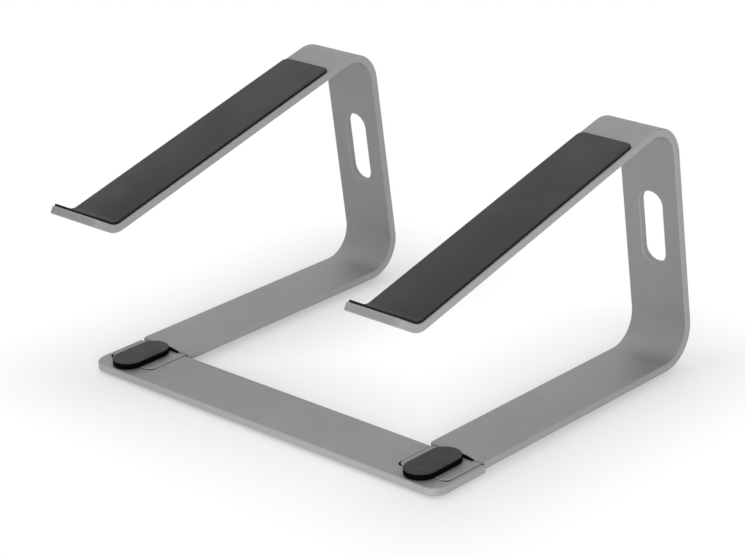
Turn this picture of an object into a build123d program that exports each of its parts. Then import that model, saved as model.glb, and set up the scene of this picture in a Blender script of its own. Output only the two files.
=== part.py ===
from build123d import *
import os
from math import atan2, cos, degrees, radians, sin, tan

# Laptop stand that comes apart. Two bent aluminium arms carry the laptop on their sloping
# shelves. Each arm ends at the front in a thin tongue that slides into a pocket of the flat
# crossbar, under an oval lock knob, and pulls straight back out again. The tongue stands a
# little proud of the crossbar.
# Millimetres. X runs across the stand, +Y away from the user, +Z up from the desk. The origin
# lies on the desk, in the middle of the stand's length and width.

# Flat stock of the arms and the crossbar
strip_width = 38.0
strip_thickness = 4.5
edge_bevel = 0.5

# Stand as a whole
arms_width = 260.0
crossbar_overhang = 1.0

# Side view of an arm, along the middle of its thickness, from the joint with the crossbar
base_run = 176.0
leg_run = 144.6
shelf_run = 212.0
lip_run = 17.0
leg_lean = 6.0
shelf_slope = 14.4
lip_rise = 31.0
rear_bend_radius = 17.5
top_bend_radius = 15.8
lip_bend_radius = 9.5
lip_corner_radius = 3.5
shoulder_corner_radius = 1.8

# Cable slot in the leg
cable_slot_width = 15.6
cable_slot_length = 43.8
cable_slot_height = 76.0
cable_slot_edge_bevel = 0.4

# Tongue and its pocket in the crossbar
arm_step = 1.4
pocket_depth = 2.3
tongue_length = 27.0
tongue_side_setback = 2.0
tongue_corner_radius = 5.0
tongue_edge_bevel = 0.25
tongue_rise = 0.25
shoulder_gap = 0.4
tongue_end_gap = 0.4
tongue_side_gap = 0.5
pocket_corner_radius = 3.5
pocket_edge_bevel = 0.15

# Crossbar
crossbar_corner_radius = 9.0
crossbar_back_corner_radius = 1.5

# Lock knob: a rigid block under a rubber cap
knob_length = 36.6
knob_width = 18.8
knob_height = 3.9
knob_edge_bevel = 0.5
knob_shoulder_gap = 0.3
cap_wall = 1.6
cap_top = 1.3
cap_lip_reach = 12.0
cap_lip_crest = 6.0
cap_lip_depth = 1.2
cap_lip_height = 1.6
cap_lip_tip_height = 0.4
cap_fit_gap = 0.05
head_gap = 0.15
stem_width = 9.0
stem_length = 16.0
stem_gap = 0.3
stem_offset = 1.0

# Countersunk screws that hold the lock block from below
screw_radius = 1.5
screw_head_radius = 2.9
screw_head_height = 1.4
screw_length = 5.6
screw_spacing = 7.0
screw_hole_gap = 0.05
screw_end_gap = 0.3
screw_socket_width = 2.0
screw_socket_depth = 0.9

# Silicone strip on the shelf and lip
support_thickness = 1.4
support_margin = 1.2
support_rear_setback = 34.8
support_corner_radius = 3.5
support_edge_bevel = 0.3
support_tip_setback = 0.8

# Anti-slip feet, set in from the edges of the plate above them
front_foot_thickness = 1.5
front_foot_length = 44.0
rear_foot_length = 38.0
foot_side_inset = 5.5
foot_end_inset = 4.0
foot_bend_gap = 6.0
foot_corner_radius = 6.0
foot_edge_bevel = 0.4

# Faces that meet at less than this, in degrees, are taken as one smooth surface
smooth_angle = 5.0

# Heights above the desk
crossbar_bottom = front_foot_thickness
crossbar_top = crossbar_bottom + strip_thickness
pocket_floor = crossbar_top - pocket_depth
arm_underside = crossbar_top + arm_step - strip_thickness
base_middle = arm_underside + strip_thickness / 2
tongue_top = crossbar_top + tongue_rise
head_underside = tongue_top + head_gap
knob_top = crossbar_top + knob_height
head_top = knob_top - cap_top

# Directions of the leg, the shelf and the lip in side view, as (Y, Z)
leg_up = Vector(-sin(radians(leg_lean)), cos(radians(leg_lean)))
shelf_forward = Vector(-cos(radians(shelf_slope)), -sin(radians(shelf_slope)))
lip_forward = Vector(-cos(radians(lip_rise)), sin(radians(lip_rise)))

# The stand reaches back to the outside of the rear bend and forward to the bevelled lower edge
# of the lip's tip, and the origin lies midway, so the joint line stands in front of it
rear_bend_middle = rear_bend_radius + strip_thickness / 2
rear_bend_setback = rear_bend_middle * tan(radians((90 + leg_lean) / 2))
rear_reach = base_run - rear_bend_setback + rear_bend_radius + strip_thickness
tip_from_joint = (
    Vector(base_run, base_middle)
    + leg_up * leg_run
    + shelf_forward * shelf_run
    + lip_forward * lip_run
)
front_reach = -tip_from_joint.X + (strip_thickness / 2 - edge_bevel) * sin(radians(lip_rise))
joint_y = (front_reach - rear_reach) / 2

# Corners of the arm's side view
base_front = Vector(joint_y + shoulder_gap, base_middle)
rear_corner = Vector(joint_y + base_run, base_middle)
top_corner = rear_corner + leg_up * leg_run
lip_corner = top_corner + shelf_forward * shelf_run
lip_tip = lip_corner + lip_forward * lip_run
arm_points = [base_front, rear_corner, top_corner, lip_corner, lip_tip]
lip_bend_middle = lip_bend_radius + strip_thickness / 2
arm_radii = [rear_bend_middle, top_bend_radius + strip_thickness / 2, lip_bend_middle]

crossbar_length = arms_width + 2 * crossbar_overhang
arm_x = (arms_width - strip_width) / 2
knob_rear = joint_y + shoulder_gap - knob_shoulder_gap
knob_y = knob_rear - knob_length / 2
head_length = knob_length - 2 * cap_wall
head_width = knob_width - 2 * cap_wall
stem_y = knob_y + stem_offset
tongue_slot_width = stem_width + 2 * stem_gap
tongue_width = strip_width - 2 * tongue_side_setback
pocket_length = tongue_length + tongue_end_gap
pocket_width = tongue_width + 2 * tongue_side_gap
pocket_front = joint_y - pocket_length
screw_hole_radius = screw_radius + screw_hole_gap
screw_sink_radius = screw_head_radius + screw_hole_gap
screw_sink_angle = 2 * degrees(atan2(screw_head_radius - screw_radius, screw_head_height))
screw_ys = {"front": stem_y - screw_spacing / 2, "rear": stem_y + screw_spacing / 2}
screw_places = [(x, y) for x in (-arm_x, arm_x) for y in screw_ys.values()]
foot_width = strip_width - 2 * foot_side_inset
front_foot_x = crossbar_length / 2 - foot_end_inset - front_foot_length / 2
front_foot_y = joint_y - strip_width / 2
rear_foot_end = joint_y + base_run - rear_bend_setback - foot_bend_gap


def sharp(builder, edges):
    """Those of the edges whose two faces meet at an angle, so not the seams of a bend."""
    faces = builder.faces()

    def is_sharp(edge):
        normals = [f.normal_at(edge @ 0.5) for f in faces if edge in f.edges()]
        return len(normals) == 2 and normals[0].get_angle(normals[1]) > smooth_angle

    return edges.filter_by(is_sharp)


def save(builder, label):
    builder.part.label = label
    export_step(builder.part, f"parts/{label}.step")


os.makedirs("parts", exist_ok=True)

# Crossbar: a flat bar with rounded corners and a pocket for each tongue, open to the back.
# Countersunk holes in the pocket floors take the lock screws.
with BuildPart() as crossbar:
    with BuildSketch(Plane.XY.offset(crossbar_bottom)) as bar_outline:
        with Locations((0, joint_y)):
            Rectangle(crossbar_length, strip_width, align=(Align.CENTER, Align.MAX))
        corners = bar_outline.vertices().group_by(Axis.Y)
        fillet(corners[0], crossbar_corner_radius)
        fillet(corners[-1], crossbar_back_corner_radius)
    extrude(amount=strip_thickness)
    chamfer(sharp(crossbar, crossbar.edges()), edge_bevel)
    with BuildSketch(Plane.XY.offset(pocket_floor)) as pocket_outlines:
        with Locations((-arm_x, pocket_front), (arm_x, pocket_front)):
            Rectangle(pocket_width, 2 * pocket_length, align=(Align.CENTER, Align.MIN))
        pocket_fronts = pocket_outlines.vertices().group_by(Axis.Y)[0]
        fillet(pocket_fronts, pocket_corner_radius)
    extrude(amount=strip_thickness, mode=Mode.SUBTRACT)
    pocket_rims = crossbar.edges(Select.LAST).filter_by_position(
        Axis.Z, crossbar_top, crossbar_top
    )
    chamfer(pocket_rims, pocket_edge_bevel)
    bar_underside = Plane.XY.offset(crossbar_bottom).rotated((180, 0, 0))
    with Locations(*[bar_underside.location * Pos(x, -y) for x, y in screw_places]):
        CounterSinkHole(
            radius=screw_hole_radius,
            counter_sink_radius=screw_sink_radius,
            depth=strip_thickness,
            counter_sink_angle=screw_sink_angle,
        )
save(crossbar, "crossbar")

for side, sign in {"left": -1, "right": 1}.items():
    x = sign * arm_x

    # Arm: one strip of plate, bent at the rear, at the top and at the lip. Its front end is
    # milled to a thin tongue with an open-ended slot that passes round the knob's stem.
    with BuildPart() as arm:
        with BuildSketch(Plane.YZ.offset(x - strip_width / 2)):
            with BuildLine():
                FilletPolyline(*arm_points, radius=arm_radii)
            trace(line_width=strip_thickness)
        extrude(amount=strip_width)
        tip_face = arm.faces().sort_by(Axis.Y)[0]
        fillet(tip_face.edges().filter_by(Axis.X, reverse=True), lip_corner_radius)
        fillet(arm.edges().filter_by(Axis.Z).group_by(Axis.Y)[0], shoulder_corner_radius)
        chamfer(sharp(arm, arm.edges()), edge_bevel)

        leg_plane = Plane(
            origin=(x, rear_corner.X, rear_corner.Y),
            x_dir=(0, leg_up.X, leg_up.Y),
            z_dir=(0, leg_up.Y, -leg_up.X),
        )
        with BuildSketch(leg_plane):
            with Locations((cable_slot_height, 0)):
                SlotOverall(cable_slot_length, cable_slot_width)
        extrude(amount=strip_thickness, both=True, mode=Mode.SUBTRACT)
        chamfer(sharp(arm, arm.edges(Select.LAST)), cable_slot_edge_bevel)

        with BuildSketch(Plane.XY.offset(pocket_floor)) as tongue_outline:
            with Locations((x, joint_y - tongue_length)):
                Rectangle(
                    tongue_width,
                    tongue_length + shoulder_gap + strip_thickness,
                    align=(Align.CENTER, Align.MIN),
                )
            fillet(tongue_outline.vertices().group_by(Axis.Y)[0], tongue_corner_radius)
            with Locations((x, stem_y)):
                SlotOverall(
                    stem_length + 2 * stem_gap,
                    tongue_slot_width,
                    rotation=90,
                    mode=Mode.SUBTRACT,
                )
                Rectangle(
                    tongue_slot_width,
                    2 * tongue_length,
                    align=(Align.CENTER, Align.MAX),
                    mode=Mode.SUBTRACT,
                )
        extrude(amount=tongue_top - pocket_floor)
        tongue_edges = arm.edges().filter_by_position(Axis.Z, tongue_top, tongue_top)
        chamfer(tongue_edges.filter_by(lambda e: e.center().Y < joint_y), tongue_edge_bevel)
    save(arm, f"{side}_arm")

    # Support strip: silicone, bonded along the shelf and down into the lip.
    with BuildPart() as support:
        lift = (strip_thickness + support_thickness) / 2
        with BuildSketch(Plane.YZ.offset(x - strip_width / 2 + support_margin)):
            with BuildLine() as shelf_line:
                FilletPolyline(
                    top_corner + shelf_forward * support_rear_setback,
                    lip_corner,
                    lip_tip - lip_forward * support_tip_setback,
                    radius=lip_bend_middle,
                )
                offset(amount=lift, side=Side.RIGHT, closed=False, mode=Mode.REPLACE)
            trace(line_width=support_thickness)
        extrude(amount=strip_width - 2 * support_margin)
        rear_face = support.faces().sort_by(Axis.Y)[-1]
        fillet(rear_face.edges().filter_by(Axis.X, reverse=True), support_corner_radius)
        tip_face = support.faces().sort_by(Axis.Y)[0]
        fillet(
            tip_face.edges().filter_by(Axis.X, reverse=True),
            lip_corner_radius - support_margin,
        )
        top_faces = support.faces().filter_by(lambda f: f.normal_at().Z > abs(f.normal_at().Y))
        chamfer(sharp(support, top_faces.edges()), support_edge_bevel)
    save(support, f"{side}_support_strip")

    # Lock block: the stem stands on the pocket floor, the head overhangs the tongue, and a heel
    # under the head rests on the land in front of the pocket.
    with BuildPart() as lock_block:
        with BuildSketch(Plane.XY.offset(pocket_floor)):
            with Locations((x, stem_y)):
                SlotOverall(stem_length, stem_width, rotation=90)
        extrude(amount=head_underside - pocket_floor)
        with BuildSketch(Plane.XY.offset(crossbar_top)):
            with Locations((x, knob_y)):
                SlotOverall(head_length, head_width, rotation=90)
            with Locations((x, pocket_front)):
                Rectangle(
                    knob_width,
                    knob_length,
                    align=(Align.CENTER, Align.MIN),
                    mode=Mode.SUBTRACT,
                )
        extrude(amount=head_underside - crossbar_top)
        with BuildSketch(Plane.XY.offset(head_underside)):
            with Locations((x, knob_y)):
                SlotOverall(head_length, head_width, rotation=90)
        extrude(amount=head_top - head_underside)
        with BuildSketch(Plane.XY.offset(crossbar_bottom)):
            with Locations(*[(x, y) for y in screw_ys.values()]):
                Circle(screw_hole_radius)
        extrude(amount=screw_length + screw_end_gap, mode=Mode.SUBTRACT)
    save(lock_block, f"{side}_lock_block")

    # Knob cap: rubber, pressed over the block's head. A low lip along its rear end reaches out
    # to both sides, close in front of the arm's shoulder.
    with BuildPart() as knob_cap:
        with BuildSketch(Plane.XY.offset(head_underside)):
            with Locations((x, knob_y)):
                SlotOverall(knob_length, knob_width, rotation=90)
        extrude(amount=knob_top - head_underside)
        chamfer(knob_cap.faces().sort_by(Axis.Z)[-1].edges(), knob_edge_bevel)
        with BuildSketch(Plane.XZ.offset(-knob_rear)):
            with BuildLine():
                Polyline(
                    (x - cap_lip_reach, head_underside),
                    (x - cap_lip_reach, head_underside + cap_lip_tip_height),
                    (x - cap_lip_crest, head_underside + cap_lip_height),
                    (x + cap_lip_crest, head_underside + cap_lip_height),
                    (x + cap_lip_reach, head_underside + cap_lip_tip_height),
                    (x + cap_lip_reach, head_underside),
                    close=True,
                )
            make_face()
        extrude(amount=cap_lip_depth)
        with BuildSketch(Plane.XY.offset(head_underside)):
            with Locations((x, knob_y)):
                SlotOverall(
                    head_length + 2 * cap_fit_gap,
                    head_width + 2 * cap_fit_gap,
                    rotation=90,
                )
        extrude(amount=head_top - head_underside, mode=Mode.SUBTRACT)
    save(knob_cap, f"{side}_knob_cap")

    # Lock screws: countersunk, from under the crossbar into the block, with hexagon sockets.
    for end, y in screw_ys.items():
        with BuildPart() as screw:
            with BuildSketch(Plane.XZ.offset(-y)):
                with BuildLine():
                    Polyline(
                        (x, crossbar_bottom),
                        (x + screw_head_radius, crossbar_bottom),
                        (x + screw_radius, crossbar_bottom + screw_head_height),
                        (x + screw_radius, crossbar_bottom + screw_length),
                        (x, crossbar_bottom + screw_length),
                        close=True,
                    )
                make_face()
            revolve(axis=Axis((x, y, 0), (0, 0, 1)))
            with BuildSketch(Plane.XY.offset(crossbar_bottom)):
                with Locations((x, y)):
                    RegularPolygon(screw_socket_width / 2, 6, major_radius=False)
            extrude(amount=screw_socket_depth, mode=Mode.SUBTRACT)
        save(screw, f"{side}_{end}_lock_screw")

    # Front foot: an anti-slip pad under the crossbar's end, over the screw heads.
    with BuildPart() as front_foot:
        with BuildSketch():
            with Locations((sign * front_foot_x, front_foot_y)):
                RectangleRounded(front_foot_length, foot_width, foot_corner_radius)
        extrude(amount=front_foot_thickness)
        chamfer(front_foot.faces().sort_by(Axis.Z)[0].edges(), foot_edge_bevel)
    save(front_foot, f"{side}_front_foot")

    # Rear foot: a thicker pad, because the arm's base plate sits higher than the crossbar.
    with BuildPart() as rear_foot:
        with BuildSketch():
            with Locations((x, rear_foot_end - rear_foot_length / 2)):
                RectangleRounded(foot_width, rear_foot_length, foot_corner_radius)
        extrude(amount=arm_underside)
        chamfer(rear_foot.faces().sort_by(Axis.Z)[0].edges(), foot_edge_bevel)
    save(rear_foot, f"{side}_rear_foot")
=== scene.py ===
from math import cos, pi, radians, sin

import bpy
from mathutils import Matrix, Vector


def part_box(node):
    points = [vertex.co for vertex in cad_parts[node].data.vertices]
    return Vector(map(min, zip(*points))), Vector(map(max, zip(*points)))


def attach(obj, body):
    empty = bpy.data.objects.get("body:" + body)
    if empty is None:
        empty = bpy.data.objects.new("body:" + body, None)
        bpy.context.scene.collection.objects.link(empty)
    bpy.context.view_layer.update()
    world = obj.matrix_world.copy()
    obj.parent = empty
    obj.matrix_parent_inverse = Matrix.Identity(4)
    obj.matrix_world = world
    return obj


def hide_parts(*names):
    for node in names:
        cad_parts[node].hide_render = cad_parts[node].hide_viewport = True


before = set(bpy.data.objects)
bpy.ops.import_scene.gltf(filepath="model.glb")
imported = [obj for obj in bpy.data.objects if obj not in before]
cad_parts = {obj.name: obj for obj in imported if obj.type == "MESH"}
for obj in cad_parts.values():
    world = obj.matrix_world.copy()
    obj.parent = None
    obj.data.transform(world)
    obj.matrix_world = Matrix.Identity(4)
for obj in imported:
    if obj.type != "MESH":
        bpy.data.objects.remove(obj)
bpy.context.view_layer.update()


# Crossbar: a flat bar cut from aluminium plate, with a pocket milled at each end for an arm's
# tongue. It is bead-blasted and anodised grey. Its edges are paler, partly as wear and partly as
# a painted highlight; its outer cut sides and front face are painted lighter, as lit more there,
# and painted shade darkens the walls of the joints.
sides = {"left": -1, "right": 1}
bar_low, bar_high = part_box("crossbar")
arm_low, arm_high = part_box("right_arm")
arm_x = (arm_low.x + arm_high.x) / 2
arm_half_width = (arm_high.x - arm_low.x) / 2


def shader(material):
    """Clears a new material down to its shader and returns its node tree and that shader."""
    material.use_nodes = True
    tree = material.node_tree
    tree.nodes.clear()
    bsdf = tree.nodes.new("ShaderNodeBsdfPrincipled")
    output = tree.nodes.new("ShaderNodeOutputMaterial")
    tree.links.new(bsdf.outputs["BSDF"], output.inputs["Surface"])
    return tree, bsdf


def noise(tree, size, detail=2.0, shift=0.0):
    """Noise on the piece's own coordinates, with lumps of about this size in metres."""
    place = tree.nodes.new("ShaderNodeTexCoord")
    mapping = tree.nodes.new("ShaderNodeMapping")
    mapping.inputs["Location"].default_value = (shift, shift, shift)
    texture = tree.nodes.new("ShaderNodeTexNoise")
    texture.inputs["Scale"].default_value = 1.0 / size
    texture.inputs["Detail"].default_value = detail
    tree.links.new(place.outputs["Object"], mapping.inputs["Vector"])
    tree.links.new(mapping.outputs["Vector"], texture.inputs["Vector"])
    return texture.outputs["Fac"]


def ranged(tree, value, low, high, spread=(0.3, 0.7)):
    """The value taken from one range, spread, to another, low to high."""
    node = tree.nodes.new("ShaderNodeMapRange")
    node.inputs["From Min"].default_value = spread[0]
    node.inputs["From Max"].default_value = spread[1]
    node.inputs["To Min"].default_value = low
    node.inputs["To Max"].default_value = high
    tree.links.new(value, node.inputs["Value"])
    return node.outputs["Result"]


def mixed(tree, factor, first, second):
    """A colour between two colours or colour sockets."""
    node = tree.nodes.new("ShaderNodeMix")
    node.data_type = "RGBA"
    for socket, colour in ((node.inputs[6], first), (node.inputs[7], second)):
        if isinstance(colour, tuple):
            socket.default_value = (*colour, 1.0)
        else:
            tree.links.new(colour, socket)
    tree.links.new(factor, node.inputs[0])
    return node.outputs[2]


def combined(tree, operation, first, second):
    """Two values put together by this operation."""
    node = tree.nodes.new("ShaderNodeMath")
    node.operation = operation
    tree.links.new(first, node.inputs[0])
    tree.links.new(second, node.inputs[1])
    return node.outputs["Value"]


def bumped(tree, bsdf, height, depth):
    """Raises the surface by height, a value from 0 to 1, times depth in metres."""
    bump = tree.nodes.new("ShaderNodeBump")
    bump.inputs["Strength"].default_value = 1.0
    bump.inputs["Distance"].default_value = depth
    tree.links.new(height, bump.inputs["Height"])
    tree.links.new(bump.outputs["Normal"], bsdf.inputs["Normal"])


def facing(tree, normal, direction):
    """How far one of the surface's two normals points along this axis, from -1 to 1."""
    surface = tree.nodes.new("ShaderNodeNewGeometry")
    parts = tree.nodes.new("ShaderNodeSeparateXYZ")
    tree.links.new(surface.outputs[normal], parts.inputs["Vector"])
    return parts.outputs[direction]


def clear_of(tree, boxes):
    """How far a point lies outside the nearest of these boxes, given by their corners."""
    place = tree.nodes.new("ShaderNodeTexCoord")
    nearest = None
    for low, high in boxes:
        middle = (Vector(low) + Vector(high)) / 2
        half = (Vector(high) - Vector(low)) / 2
        value = place.outputs["Object"]
        for operation, other in (
            ("SUBTRACT", middle), ("ABSOLUTE", None), ("SUBTRACT", half),
            ("MAXIMUM", (0, 0, 0)), ("LENGTH", None),
        ):
            node = tree.nodes.new("ShaderNodeVectorMath")
            node.operation = operation
            tree.links.new(value, node.inputs[0])
            if other is not None:
                node.inputs[1].default_value = other
            value = node.outputs["Value" if operation == "LENGTH" else "Vector"]
        nearest = value if nearest is None else combined(tree, "MINIMUM", nearest, value)
    return nearest


def at_each_arm(half_width, front, back, bottom, top):
    """Two equal boxes, one centred across each arm, given by their corners."""
    return [
        ((sign * arm_x - half_width, front, bottom), (sign * arm_x + half_width, back, top))
        for sign in sides.values()
    ]


def edge_wear_and_highlight(tree, radius, paleness):
    """Paleness along the outer edges, within this radius and up to the given amount, and 0 on the
    open faces. It is partly edge wear and partly a painted highlight where the edges catch light.
    """
    turned, level = 0.86, 0.99
    rounded = tree.nodes.new("ShaderNodeBevel")
    rounded.samples = 4
    rounded.inputs["Radius"].default_value = radius
    flat = tree.nodes.new("ShaderNodeNewGeometry")
    agreement = tree.nodes.new("ShaderNodeVectorMath")
    agreement.operation = "DOT_PRODUCT"
    tree.links.new(rounded.outputs["Normal"], agreement.inputs[0])
    tree.links.new(flat.outputs["Normal"], agreement.inputs[1])
    return ranged(tree, agreement.outputs["Value"], paleness, 0.0, spread=(turned, level))


def painted_light_faces(tree, side_light, front_light):
    """Painted light: how much lighter the outer cut sides are, and the faces that look towards
    the user, as if more light falls on them.
    """
    square, slanting, front_slanting = 0.95, 0.6, 0.45
    edge_margin, fade = 0.001, 0.0005
    far_off = 1.0
    across = facing(tree, "Normal", "X")
    left = ranged(tree, across, side_light, 0.0, spread=(-square, -slanting))
    right = ranged(tree, across, 0.0, side_light, spread=(slanting, square))
    inside = at_each_arm(arm_half_width - edge_margin, -far_off, far_off, -far_off, far_off)
    outside = ranged(tree, clear_of(tree, inside), 0.0, 1.0, spread=(0.0, fade))
    lit_sides = combined(tree, "MULTIPLY", combined(tree, "MAXIMUM", left, right), outside)
    along = facing(tree, "Normal", "Y")
    lit_front = ranged(tree, along, front_light, 0.0, spread=(-square, -front_slanting))
    return combined(tree, "MAXIMUM", lit_sides, lit_front)


def joint_wall_shade(tree):
    """Where painted shade goes: 1 on the steep walls of the pockets, tongues and shoulders, and 0
    elsewhere.
    """
    pocket_reach, shoulder_reach, side_margin = 0.0277, 0.0005, 0.0002
    steep, sloping = 0.2, 0.6
    fade = 0.0001
    joints = at_each_arm(
        arm_half_width - side_margin, bar_high.y - pocket_reach, bar_high.y + shoulder_reach,
        -bar_high.z, bar_high.z,
    )
    inside = ranged(tree, clear_of(tree, joints), 1.0, 0.0, spread=(0.0, fade))
    upward = facing(tree, "True Normal", "Z")
    not_above = ranged(tree, upward, 1.0, 0.0, spread=(steep, sloping))
    not_below = ranged(tree, upward, 0.0, 1.0, spread=(-sloping, -steep))
    return combined(tree, "MULTIPLY", inside, combined(tree, "MULTIPLY", not_above, not_below))


def anodised_aluminium(name, shift, front_light=0.0):
    """Pale along the edges, partly as wear and partly as a painted highlight, and painted lighter,
    as lit, on the outer cut sides and, by the front share, on the faces towards the front.
    The shift moves the clouds, so that no two pieces have the same."""
    cloud_size, patch_size, grain_size = 0.045, 0.006, 0.00035
    grain_depth = 0.000012
    edge_radius, edge_paleness = 0.0009, 0.75
    side_light = 0.35
    dark, light, pale_worn_and_lit = (0.252, 0.2585, 0.2555), (0.275, 0.2815, 0.2785), (0.40, 0.407, 0.403)
    joint_shade = (0.06, 0.062, 0.061)
    smoothest, roughest = 0.50, 0.57
    material = bpy.data.materials.new(name)
    tree, bsdf = shader(material)
    clouds = noise(tree, cloud_size, detail=3.0, shift=shift)
    patches = noise(tree, patch_size, shift=shift + 1.7)
    grain = noise(tree, grain_size, shift=shift + 3.1)
    tone = mixed(tree, ranged(tree, clouds, 0.0, 1.0), dark, light)
    # Painted light: the outer cut sides and, by the front share, the front faces are made lighter.
    tone = mixed(tree, painted_light_faces(tree, side_light, front_light), tone, pale_worn_and_lit)
    # The edges are paler, partly as edge wear and partly as a painted highlight.
    tone = mixed(tree, edge_wear_and_highlight(tree, edge_radius, edge_paleness), tone, pale_worn_and_lit)
    # Painted shade darkens the walls of the joints, in the gaps between the crossbar and the arms.
    tree.links.new(mixed(tree, joint_wall_shade(tree), tone, joint_shade), bsdf.inputs["Base Color"])
    tree.links.new(ranged(tree, patches, smoothest, roughest), bsdf.inputs["Roughness"])
    bsdf.inputs["Metallic"].default_value = 0.2
    bsdf.inputs["Specular IOR Level"].default_value = 0.2
    bumped(tree, bsdf, grain, grain_depth)
    return material


def coat(node, material):
    """Gives a piece that keeps its CAD mesh this finish all over."""
    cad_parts[node].data.materials.clear()
    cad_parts[node].data.materials.append(material)


coat("crossbar", anodised_aluminium("anodised plate, crossbar", 0.0, front_light=1.0))


# Front feet: anti-slip rubber pads glued under the crossbar's ends, over the screw heads.
# Each is a moulded tile with rounded corners and a plain border round a shallow recessed field.
def rubber(name, dark, light, skin_size, skin_depth, haze_size, roughness, sheen):
    """A fine moulded skin, over a tone and a roughness that drift slowly, as with dust."""
    material = bpy.data.materials.new(name)
    tree, bsdf = shader(material)
    skin = noise(tree, skin_size, detail=3.0)
    haze = noise(tree, haze_size, detail=4.0, shift=1.1)
    tree.links.new(mixed(tree, ranged(tree, haze, 0.0, 1.0), dark, light), bsdf.inputs["Base Color"])
    tree.links.new(ranged(tree, haze, *roughness), bsdf.inputs["Roughness"])
    bsdf.inputs["Specular IOR Level"].default_value = sheen
    bumped(tree, bsdf, skin, skin_depth)
    return material


def edit(piece):
    """Opens this piece alone in edit mode, with nothing selected."""
    if bpy.context.mode != "OBJECT":
        bpy.ops.object.mode_set(mode="OBJECT")
    bpy.ops.object.select_all(action="DESELECT")
    piece.select_set(True)
    bpy.context.view_layer.objects.active = piece
    bpy.ops.object.mode_set(mode="EDIT")
    bpy.ops.mesh.select_mode(type="FACE")
    bpy.ops.mesh.select_all(action="DESELECT")


def pick_faces(piece, wanted):
    """In edit mode, selects the faces for which wanted(centre, normal) is true."""
    bpy.ops.object.mode_set(mode="OBJECT")
    for vertex in piece.data.vertices:
        vertex.select = False
    for edge in piece.data.edges:
        edge.select = False
    for face in piece.data.polygons:
        face.select = bool(wanted(face.center, face.normal))
    bpy.ops.object.mode_set(mode="EDIT")
    bpy.ops.mesh.select_mode(type="FACE")


def pick_edges(piece, wanted):
    """In edit mode, selects the edges for which wanted(first end, second end) is true."""
    bpy.ops.mesh.select_mode(type="EDGE")
    bpy.ops.object.mode_set(mode="OBJECT")
    corners = piece.data.vertices
    for face in piece.data.polygons:
        face.select = False
    for vertex in corners:
        vertex.select = False
    for edge in piece.data.edges:
        a, b = (corners[i].co for i in edge.vertices)
        edge.select = bool(wanted(a, b))
    bpy.ops.object.mode_set(mode="EDIT")


def weld():
    """In edit mode, merges the corners that meet and turns every face outwards."""
    bpy.ops.mesh.select_all(action="SELECT")
    bpy.ops.mesh.remove_doubles(threshold=0.000002)
    bpy.ops.mesh.normals_make_consistent(inside=False)


def close_piece(piece, name, material, smooth_angle=35.0):
    """Ends the modelling: place applied, faces outwards, smooth but for the true edges."""
    bpy.ops.object.mode_set(mode="EDIT")
    weld()
    bpy.ops.object.mode_set(mode="OBJECT")
    bpy.ops.object.transform_apply(location=True, rotation=True, scale=True)
    bpy.ops.object.shade_smooth_by_angle(angle=radians(smooth_angle))
    piece.name = name
    piece.data.name = name
    piece.data.materials.clear()
    piece.data.materials.append(material)


def rubber_foot(name, node, body, material):
    """A tile as large as the foot's CAD box, with its rim, border and field underneath."""
    corner_radius = 0.006
    rim_bevel = 0.0004
    border = 0.0022
    field_depth = 0.00025
    mostly, fully = 0.9, 0.999
    low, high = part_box(node)
    size = high - low
    bpy.ops.object.select_all(action="DESELECT")
    bpy.ops.mesh.primitive_cube_add(size=1.0, location=(low + high) / 2, scale=size)
    foot = bpy.context.active_object
    bpy.ops.object.transform_apply(location=True, rotation=True, scale=True)
    edit(foot)
    pick_edges(foot, lambda a, b: abs(a.z - b.z) > size.z / 2)
    bpy.ops.mesh.bevel(offset=corner_radius, segments=8, affect="EDGES")
    pick_faces(foot, lambda centre, normal: normal.z < -mostly)
    bpy.ops.mesh.region_to_loop()
    bpy.ops.mesh.bevel(offset=rim_bevel, segments=3, affect="EDGES")
    pick_faces(foot, lambda centre, normal: normal.z < -fully)
    bpy.ops.mesh.inset(thickness=border, depth=0.0)
    bpy.ops.mesh.inset(thickness=field_depth, depth=-field_depth)
    close_piece(foot, name, material)
    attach(foot, body)
    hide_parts(node)


foot_rubber = rubber(
    "foot rubber", (0.018, 0.018, 0.018), (0.0263, 0.0263, 0.0263),
    skin_size=0.0006, skin_depth=0.00006, haze_size=0.011, roughness=(0.62, 0.78), sheen=0.4,
)
for side in sides:
    rubber_foot(f"{side}_front_pad", f"{side}_front_foot", "crossbar", foot_rubber)


# Lock blocks: milled aluminium, an oval stem under a wider oval head. The stem stands in the
# pocket, and the head holds the arm's tongue down. Two screws from below hold each block.
def machined_aluminium(name):
    """Bare metal with fine cutter marks, drawn out along X."""
    mark_length, marks_across = 0.0025, 18.0
    mark_depth = 0.000008
    material = bpy.data.materials.new(name)
    tree, bsdf = shader(material)
    place = tree.nodes.new("ShaderNodeTexCoord")
    narrowed = tree.nodes.new("ShaderNodeMapping")
    narrowed.inputs["Scale"].default_value = (1.0, marks_across, 1.0)
    marks = tree.nodes.new("ShaderNodeTexNoise")
    marks.inputs["Scale"].default_value = 1.0 / mark_length
    tree.links.new(place.outputs["Object"], narrowed.inputs["Vector"])
    tree.links.new(narrowed.outputs["Vector"], marks.inputs["Vector"])
    tone = ranged(tree, marks.outputs["Fac"], 0.0, 1.0)
    tree.links.new(mixed(tree, tone, (0.52, 0.52, 0.53), (0.6, 0.6, 0.61)), bsdf.inputs["Base Color"])
    tree.links.new(ranged(tree, marks.outputs["Fac"], 0.24, 0.36), bsdf.inputs["Roughness"])
    bsdf.inputs["Metallic"].default_value = 1.0
    bumped(tree, bsdf, marks.outputs["Fac"], mark_depth)
    return material


milled = machined_aluminium("milled aluminium")
for side in sides:
    coat(f"{side}_lock_block", milled)


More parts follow.
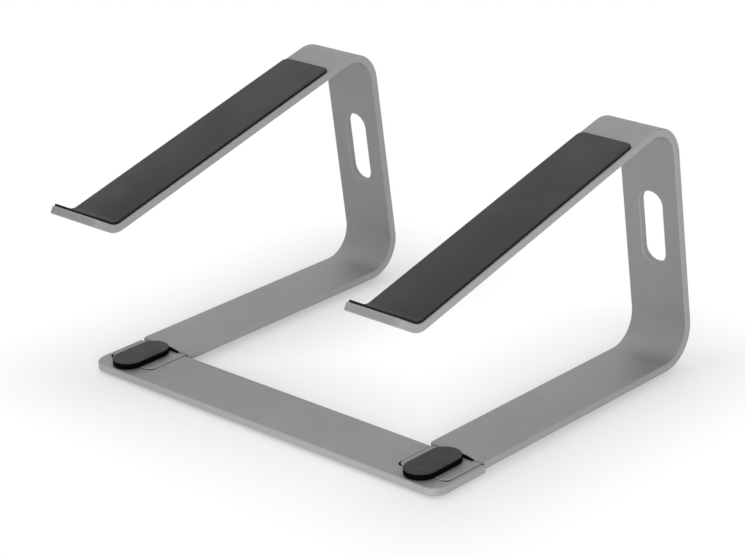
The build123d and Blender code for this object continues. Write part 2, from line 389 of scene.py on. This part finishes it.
# Lock screws: small countersunk steel screws with hexagon sockets, turned in from under the
# crossbar. Bare steel with a finely mottled surface, seen only when a foot is peeled off.
def screw_steel(name):
    """Bare metal whose tone and gloss vary in spots of under a millimetre."""
    spot_size, spot_depth = 0.0007, 0.00001
    material = bpy.data.materials.new(name)
    tree, bsdf = shader(material)
    spots = noise(tree, spot_size, detail=3.0)
    tone = ranged(tree, spots, 0.0, 1.0)
    tree.links.new(mixed(tree, tone, (0.3, 0.3, 0.31), (0.42, 0.42, 0.43)), bsdf.inputs["Base Color"])
    tree.links.new(ranged(tree, spots, 0.28, 0.42), bsdf.inputs["Roughness"])
    bsdf.inputs["Metallic"].default_value = 1.0
    bumped(tree, bsdf, spots, spot_depth)
    return material


steel = screw_steel("turned steel")
for side in sides:
    coat(f"{side}_front_lock_screw", steel)
    coat(f"{side}_rear_lock_screw", steel)


# Knob caps: black rubber, moulded as an oval cup and pressed over the lock block's head. The
# crown is flat and finely textured and painted lighter, as lit from above; the skirt is smooth and
# painted darker, as shade; and a low lip along the rear end, in the same painted shade, closes the
# joint in front of the arm's shoulder and stands in for the dark shade there.
def rear_lip(low, high, shaded_side):
    """A thin wall across the cap's rear end, which slopes down to a low tip on each side."""
    height, depth = 0.0016, 0.0012
    rim = 0.00015
    margin = 0.0001
    upper = 0.5
    reach = (high.x - low.x) / 2
    crest = reach / 2
    tip_height = height / 4
    middle_x = (low.x + high.x) / 2
    bpy.ops.object.select_all(action="DESELECT")
    bpy.ops.mesh.primitive_cube_add(
        size=1.0, scale=(2 * reach, depth, height),
        location=(middle_x, high.y - depth / 2, low.z + height / 2),
    )
    lip = bpy.context.active_object
    bpy.ops.object.transform_apply(location=True, rotation=True, scale=True)
    edit(lip)
    for end in (-1, 1):
        bpy.ops.mesh.select_all(action="SELECT")
        bpy.ops.mesh.bisect(plane_co=(middle_x + end * crest, 0, 0), plane_no=(1, 0, 0))
    for end in (-1, 1):
        pick_edges(lip, lambda a, b: min((a.x - middle_x) * end, (b.x - middle_x) * end)
                   > crest + margin and min(a.z, b.z) > low.z + margin)
        bpy.ops.transform.translate(value=(0, 0, tip_height - height))
    pick_faces(lip, lambda centre, normal: normal.z > upper)
    bpy.ops.mesh.region_to_loop()
    bpy.ops.mesh.bevel(offset=rim, segments=2, affect="EDGES")
    close_piece(lip, "lip", shaded_side)
    return lip


def knob_cap(name, node, block, lit_top, shaded_side):
    """An oval cup whose hollow takes the block's head, with the lip joined to its rear end."""
    wall, roof = 0.0016, 0.0013
    rim_radius = 0.0006
    crown_inset = 0.0006
    lit_tilt = 0.55
    corners = 96
    mostly, fully = 0.9, 0.999
    hair = 0.000001
    low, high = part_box(node)
    block_low, block_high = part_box(block)
    size = high - low
    round_end = (block_high.x - block_low.x) / 2 + wall
    half_straight = size.y / 2 - round_end
    bpy.ops.object.select_all(action="DESELECT")
    bpy.ops.mesh.primitive_cylinder_add(
        vertices=corners, radius=round_end, depth=size.z, location=(0, 0, 0),
        rotation=(0, 0, pi / corners),
    )
    cap = bpy.context.active_object
    bpy.ops.object.transform_apply(location=True, rotation=True, scale=True)
    edit(cap)
    for end in (-1, 1):
        pick_edges(cap, lambda a, b: a.y * end > 0 and b.y * end > 0)
        bpy.ops.transform.translate(value=(0, end * half_straight, 0))
    pick_faces(cap, lambda centre, normal: normal.z < -mostly)
    bpy.ops.mesh.inset(thickness=wall, depth=0.0)
    bpy.ops.mesh.extrude_region_move(TRANSFORM_OT_translate={"value": (0, 0, size.z - roof)})
    pick_faces(cap, lambda centre, normal: normal.z > mostly and centre.z > 0)
    bpy.ops.mesh.region_to_loop()
    bpy.ops.mesh.bevel(offset=rim_radius, segments=4, affect="EDGES")
    pick_faces(cap, lambda centre, normal: normal.z > fully and centre.z > size.z / 2 - hair)
    bpy.ops.mesh.inset(thickness=crown_inset, depth=0.0)
    bpy.ops.object.mode_set(mode="OBJECT")
    cap.location = (low + high) / 2
    close_piece(cap, name, lit_top)
    # Upward faces keep the lighter rubber, painted as lit from above; steeper faces take the darker
    # rubber, painted as shade.
    cap.data.materials.append(shaded_side)
    for face in cap.data.polygons:
        face.material_index = int(face.normal.z < lit_tilt)
    # The lip takes the darker, painted-shade rubber and stands in for the dark shade at the joint
    # behind the knob.
    lip = rear_lip(low, high, shaded_side)
    bpy.ops.object.select_all(action="DESELECT")
    lip.select_set(True)
    cap.select_set(True)
    bpy.context.view_layer.objects.active = cap
    bpy.ops.object.join()
    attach(cap, "crossbar")
    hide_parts(node)


knob_skin = {
    "skin_size": 0.00045, "skin_depth": 0.00003, "haze_size": 0.007, "roughness": (0.6, 0.72),
}
knob_lit_top = rubber(
    "knob top, painted light", (0.022, 0.022, 0.022), (0.028, 0.028, 0.028), sheen=0.28, **knob_skin,
)
knob_shaded_side = rubber(
    "knob side, painted shade", (0.0012, 0.0012, 0.0012), (0.0019, 0.0019, 0.0019), sheen=0.03, **knob_skin,
)
for side in sides:
    knob_cap(
        f"{side}_knob_cover", f"{side}_knob_cap", f"{side}_lock_block", knob_lit_top, knob_shaded_side,
    )


# Arms: one strip of 4.5 mm aluminium plate each, bent three times on a press brake, with a
# cable slot milled through the leg and the front end thinned to a tongue that slides into the
# crossbar. Same blasting and anodising as the crossbar.
for side, sign in sides.items():
    coat(f"{side}_arm", anodised_aluminium(f"anodised plate, {side} arm", 5.0 + sign))


# Rear feet: moulded tiles of the same anti-slip rubber, glued under the rear of the arms' base
# plates. They are about twice as thick as the front feet, because the arms lie higher.
for side in sides:
    rubber_foot(f"{side}_rear_pad", f"{side}_rear_foot", f"{side}_arm", foot_rubber)


# Support strips: dark grey silicone sheet, cut with round corners and bonded along the shelf,
# over the bend and up the lip, so that a laptop neither slips nor gets scratched.
def support_strip(name, node, body, face_silicone, edge_silicone):
    """A sheet drawn from the rear of the shelf, down it, round the bend and up the lip."""
    thickness = 0.0014
    slope = radians(14.4)
    lip_rise = radians(31.0)
    shelf_run = 0.1723
    lip_run = 0.0113
    bend_radius = 0.0095
    rear_corner, rear_reach = 0.0035, 0.001
    tip_corner, tip_reach = 0.0023, 0.002
    rim = 0.0003
    upper = 0.8
    face_tilt = 0.7
    slack, hair = 1.05, 0.000001
    low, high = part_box(node)
    width = high.x - low.x
    mid_x = (low.x + high.x) / 2
    forward = Vector((0, -cos(slope), -sin(slope)))
    lip_forward = Vector((0, -cos(lip_rise), sin(lip_rise)))
    up = Vector((0, -sin(slope), cos(slope)))
    rear_top = Vector((mid_x, high.y - thickness * sin(slope), high.z + rim * sin(slope)))
    bend_start = rear_top - up * thickness + forward * shelf_run
    bpy.ops.object.select_all(action="DESELECT")
    bpy.ops.mesh.primitive_plane_add(
        size=1.0, rotation=(pi / 2 + slope, 0, 0), location=rear_top - up * thickness / 2,
    )
    strip = bpy.context.active_object
    strip.scale = (width, thickness, 1)
    bpy.ops.object.transform_apply(location=True, rotation=True, scale=True)
    edit(strip)
    bpy.ops.mesh.select_all(action="SELECT")
    bpy.ops.mesh.extrude_region_move(TRANSFORM_OT_translate={"value": forward * shelf_run})
    bpy.ops.mesh.spin(
        steps=14, angle=slope + lip_rise, center=bend_start + up * bend_radius, axis=(1, 0, 0),
    )
    bpy.ops.mesh.extrude_region_move(TRANSFORM_OT_translate={"value": lip_forward * lip_run})
    weld()

    def stands_at_end(a, b, near_y, reach):
        """A short edge through the strip's thickness, at its side and within reach of an end."""
        return ((a - b).length < thickness * slack and abs(a.x - b.x) < hair
                and abs(a.y - near_y) < reach)

    pick_edges(strip, lambda a, b: stands_at_end(a, b, high.y, rear_reach))
    bpy.ops.mesh.bevel(offset=rear_corner, segments=8, affect="EDGES")
    pick_edges(strip, lambda a, b: stands_at_end(a, b, low.y, tip_reach))
    bpy.ops.mesh.bevel(offset=tip_corner, segments=6, affect="EDGES")
    pick_faces(strip, lambda centre, normal: normal.z > upper)
    bpy.ops.mesh.region_to_loop()
    bpy.ops.mesh.bevel(offset=rim, segments=2, affect="EDGES")
    close_piece(strip, name, face_silicone, smooth_angle=30.0)
    strip.data.materials.append(edge_silicone)
    for face in strip.data.polygons:
        face.material_index = int(abs(face.normal.z) < face_tilt)
    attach(strip, body)
    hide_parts(node)


silicone_skin = {"skin_depth": 0.00002, "haze_size": 0.03, "roughness": (0.58, 0.68)}
face_silicone = rubber(
    "silicone face", (0.0245, 0.0247, 0.0253), (0.030, 0.0302, 0.0308),
    skin_size=0.00028, sheen=0.2, **silicone_skin,
)
edge_silicone = rubber(
    "silicone cut edge", (0.008, 0.008, 0.008), (0.012, 0.012, 0.012),
    skin_size=0.0006, sheen=0.1, **silicone_skin,
)
for side in sides:
    support_strip(
        f"{side}_strip", f"{side}_support_strip", f"{side}_arm", face_silicone, edge_silicone,
    )


# Room: a plain pale floor under an even white sky. A broad soft key lamp shines from high up at
# the left and a little behind, so that the shadow falls to the front right. A wide disk lamp
# stands low at the front right and brightens the legs and the plates' front edges.
def seen_rays(tree):
    """1 for what the camera sees straight, in a gloss or through glass, and 0 for plain light."""
    rays = tree.nodes.new("ShaderNodeLightPath")
    seen = rays.outputs["Is Camera Ray"]
    for also in ("Is Glossy Ray", "Is Transmission Ray"):
        seen = combined(tree, "MAXIMUM", seen, rays.outputs[also])
    return seen


def white_floor(name):
    """White paper round the stand, which turns into the plain white backdrop further out."""
    mottle_size = 0.4
    backdrop_near, backdrop_far = 0.38, 1.0
    fade_from, fade_to = 0.012, 0.07
    material = bpy.data.materials.new(name)
    tree, bsdf = shader(material)
    mottle = ranged(tree, noise(tree, mottle_size), 0.0, 1.0)
    paper = mixed(tree, mottle, (0.96, 0.96, 0.96), (0.965, 0.965, 0.965))
    tree.links.new(paper, bsdf.inputs["Base Color"])
    bsdf.inputs["Roughness"].default_value = 0.95
    bsdf.inputs["Specular IOR Level"].default_value = 0.0
    under_bar = ((bar_low.x, bar_low.y, 0), (bar_high.x, bar_high.y, 0))
    under_arms = at_each_arm(arm_half_width, bar_high.y, arm_high.y, 0, 0)
    away = clear_of(tree, [under_bar, *under_arms])
    share = ranged(tree, away, backdrop_near, backdrop_far, spread=(fade_from, fade_to))
    white = tree.nodes.new("ShaderNodeEmission")
    turning = tree.nodes.new("ShaderNodeMixShader")
    output = tree.nodes["Material Output"]
    tree.links.new(combined(tree, "MULTIPLY", share, seen_rays(tree)), turning.inputs["Fac"])
    tree.links.new(bsdf.outputs["BSDF"], turning.inputs[1])
    tree.links.new(white.outputs["Emission"], turning.inputs[2])
    tree.links.new(turning.outputs["Shader"], output.inputs["Surface"])
    return material


floor_size = 30.0
bpy.ops.object.select_all(action="DESELECT")
bpy.ops.mesh.primitive_plane_add(size=floor_size, location=(0, 0, 0))
floor = bpy.context.active_object
floor.name = "floor"
floor.data.materials.append(white_floor("floor white"))

sky_light = 0.48
sky_seen = 1.0
sky = bpy.data.worlds.new("sky")
bpy.context.scene.world = sky
sky.use_nodes = True
tree = sky.node_tree
tree.nodes.clear()
light = tree.nodes.new("ShaderNodeBackground")
light.inputs["Strength"].default_value = sky_light
backdrop = tree.nodes.new("ShaderNodeBackground")
backdrop.inputs["Strength"].default_value = sky_seen
either = tree.nodes.new("ShaderNodeMixShader")
world_output = tree.nodes.new("ShaderNodeOutputWorld")
tree.links.new(seen_rays(tree), either.inputs["Fac"])
tree.links.new(light.outputs["Background"], either.inputs[1])
tree.links.new(backdrop.outputs["Background"], either.inputs[2])
tree.links.new(either.outputs["Shader"], world_output.inputs["Surface"])


def hang(lamp, place, aim):
    """Puts a lamp into the room at this place, shining along aim."""
    holder = bpy.data.objects.new(lamp.name, lamp)
    holder.location = place
    holder.rotation_euler = aim.to_track_quat("-Z", "Y").to_euler()
    bpy.context.scene.collection.objects.link(holder)
    return holder


key_aim = Vector((0.55, -0.25, -0.8))
key_lamp = bpy.data.lights.new("key lamp", "SUN")
key_lamp.energy = 1.33
key_lamp.angle = radians(90.0)
hang(key_lamp, Vector((0, 0, 0)), key_aim)

fill_place = Vector((1.05, -0.9, 0.28))
fill_target = Vector((0, 0, 0.05))
fill_lamp = bpy.data.lights.new("fill lamp", "AREA")
fill_lamp.shape = "DISK"
fill_lamp.size = 0.9
fill_lamp.energy = 15.5
fill = hang(fill_lamp, fill_place, fill_target - fill_place)
fill.visible_camera = False
fill.visible_glossy = False


# Camera: the photograph's viewpoint, a long lens at the front right and a little above. Its
# focal length is given in pixels of the photograph, which is 745 pixels wide.
focal_pixels = 2582.1
image_width = 745
camera_place = Vector((0.9162, -0.94847, 0.5969))
azimuth, elevation, roll = radians(44.0), radians(22.24), radians(-2.52)
camera_data = bpy.data.cameras.new("camera")
camera_data.sensor_width = 36.0
camera_data.lens = focal_pixels / image_width * camera_data.sensor_width
camera_data.clip_start = 0.05
camera_data.clip_end = 60.0
camera = bpy.data.objects.new("camera", camera_data)
camera.matrix_world = (
    Matrix.Translation(camera_place)
    @ Matrix.Rotation(azimuth, 4, "Z")
    @ Matrix.Rotation(pi / 2 - elevation, 4, "X")
    @ Matrix.Rotation(roll, 4, "Z")
)
bpy.context.scene.collection.objects.link(camera)
bpy.context.scene.camera = camera
bpy.context.scene.view_settings.view_transform = "Standard"
